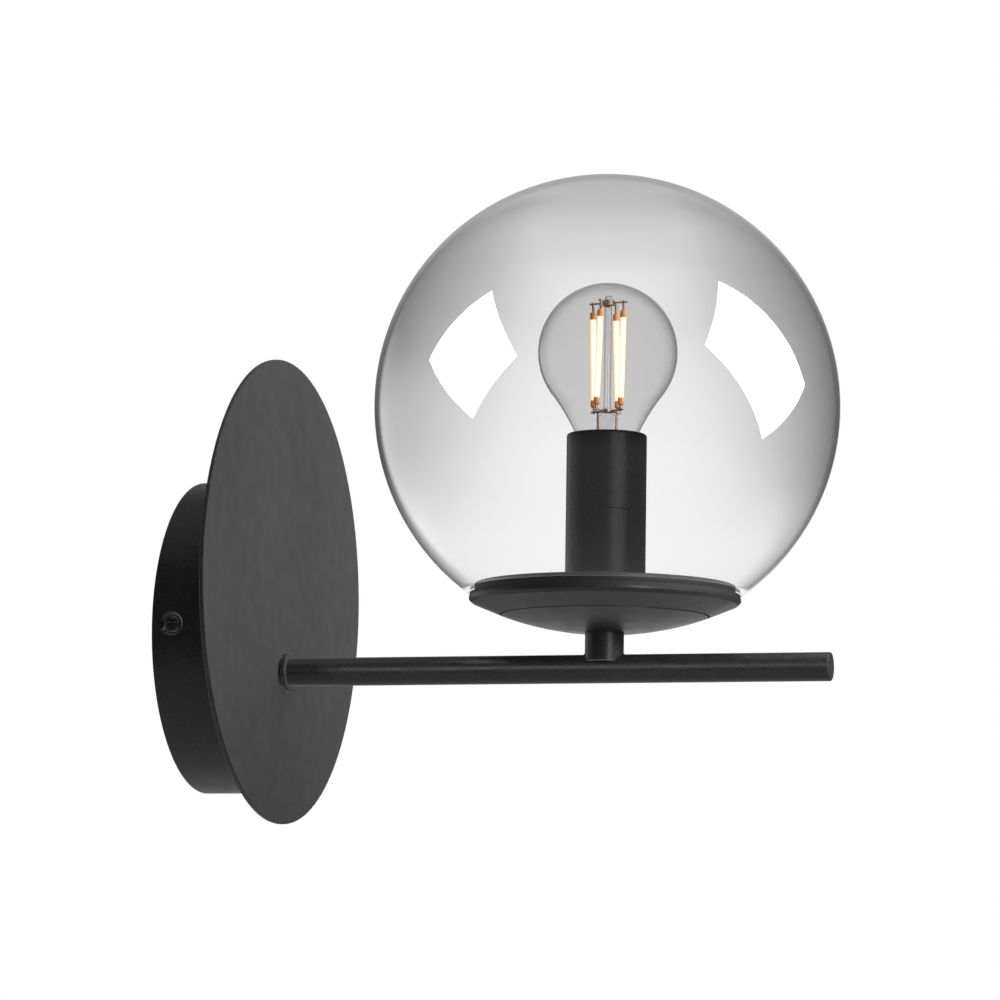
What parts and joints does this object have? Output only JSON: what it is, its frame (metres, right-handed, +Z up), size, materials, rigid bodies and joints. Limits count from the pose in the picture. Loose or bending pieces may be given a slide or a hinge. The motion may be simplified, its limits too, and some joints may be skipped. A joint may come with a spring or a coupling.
{
  "type": "globe wall sconce",
  "caption": "Wall light with a round canopy and disc, a straight arm, and a smoked glass globe standing on a saucer over a filament lamp.",
  "frame": {"origin": "centre of the canopy's back, on the wall", "axes": "+Y into the wall, so the light reaches out towards -Y; +Z up; +X to the right of someone who faces the wall"},
  "size_m": [0.152, 0.2102, 0.209],
  "materials": {
    "powder_coat": "matte black powder coat with a fine grain",
    "zinc_steel": "zinc-plated steel",
    "brass": "plain brass",
    "block_plastic": "natural nylon",
    "holder_plastic": "black moulded thermoplastic",
    "silicone": "dark grey silicone",
    "smoked_glass": "clear glass, tinted smoke grey towards its top",
    "lamp_glass": "thin clear glass",
    "lamp_cap": "nickel-plated brass",
    "solder": "soldered tip",
    "cap_glass": "black glass insulator",
    "filament": "phosphor-coated strip that glows warm white",
    "filament_cap": "orange-brown cured resin",
    "carrier_wire": "dark nickel wire",
    "wire_brown": "brown insulation",
    "wire_blue": "blue insulation",
    "wire_earth": "green and yellow insulation"
  },
  "bodies": {
    "fixture": {"canopy": "powder_coat", "canopy_side_screws": "powder_coat", "face_disc": "powder_coat", "arm_collar": "powder_coat", "arm_tube": "powder_coat", "arm_end_plug": "powder_coat", "stem": "powder_coat", "dish_pan": "powder_coat", "dish_ring": "powder_coat", "spigot_plate": "powder_coat", "holder_sleeve": "powder_coat", "wall_bracket": "zinc_steel", "disc_studs": "zinc_steel", "disc_nuts": "zinc_steel", "terminal_screws": "zinc_steel", "terminal_fixing": "zinc_steel", "arm_root_insert": "zinc_steel", "arm_earth_tag": "zinc_steel", "arm_locknut": "zinc_steel", "pan_locknut": "zinc_steel", "centre_nipple": "zinc_steel", "holder_nut": "zinc_steel", "terminal_inserts": "brass", "earth_screw": "brass", "earth_lug": "brass", "holder_posts": "brass", "screw_shell": "brass", "centre_contact": "brass", "shell_contact": "brass", "terminal_block": "block_plastic", "holder_base": "holder_plastic", "holder_core": "holder_plastic", "glass_gasket": "silicone", "wire_live": "wire_brown", "wire_neutral": "wire_blue", "earth_wire": "wire_earth"},
    "globe": {"globe_glass": "smoked_glass"},
    "lamp_tip": {"bulb_tip": "solder"},
    "lamp": {"bulb_glass": "lamp_glass", "bulb_cap": "lamp_cap", "bulb_insulator": "cap_glass", "bulb_mount": "lamp_glass", "led_filaments": "filament", "filament_ends": "filament_cap", "filament_carriers": "carrier_wire"}
  },
  "joints": [
    {"name": "globe_lift", "type": "slide", "parent": "fixture", "child": "globe", "axis": [0, 0, 1], "range_m": [0, 0.105]},
    {"name": "lamp_rise", "type": "slide", "parent": "fixture", "child": "lamp_tip", "axis": [0, 0, 1], "range_m": [0, 0.0155]},
    {"name": "lamp_unscrew", "type": "hinge", "parent": "lamp_tip", "child": "lamp", "pos_m": [0, -0.1352, 0.06], "axis": [0, 0, 1], "range_deg": [0, 1800]}
  ],
  "couplings": [
    {"joint": "lamp_rise", "follows": "lamp_unscrew", "m_per_rad": 0.00044882}
  ]
}
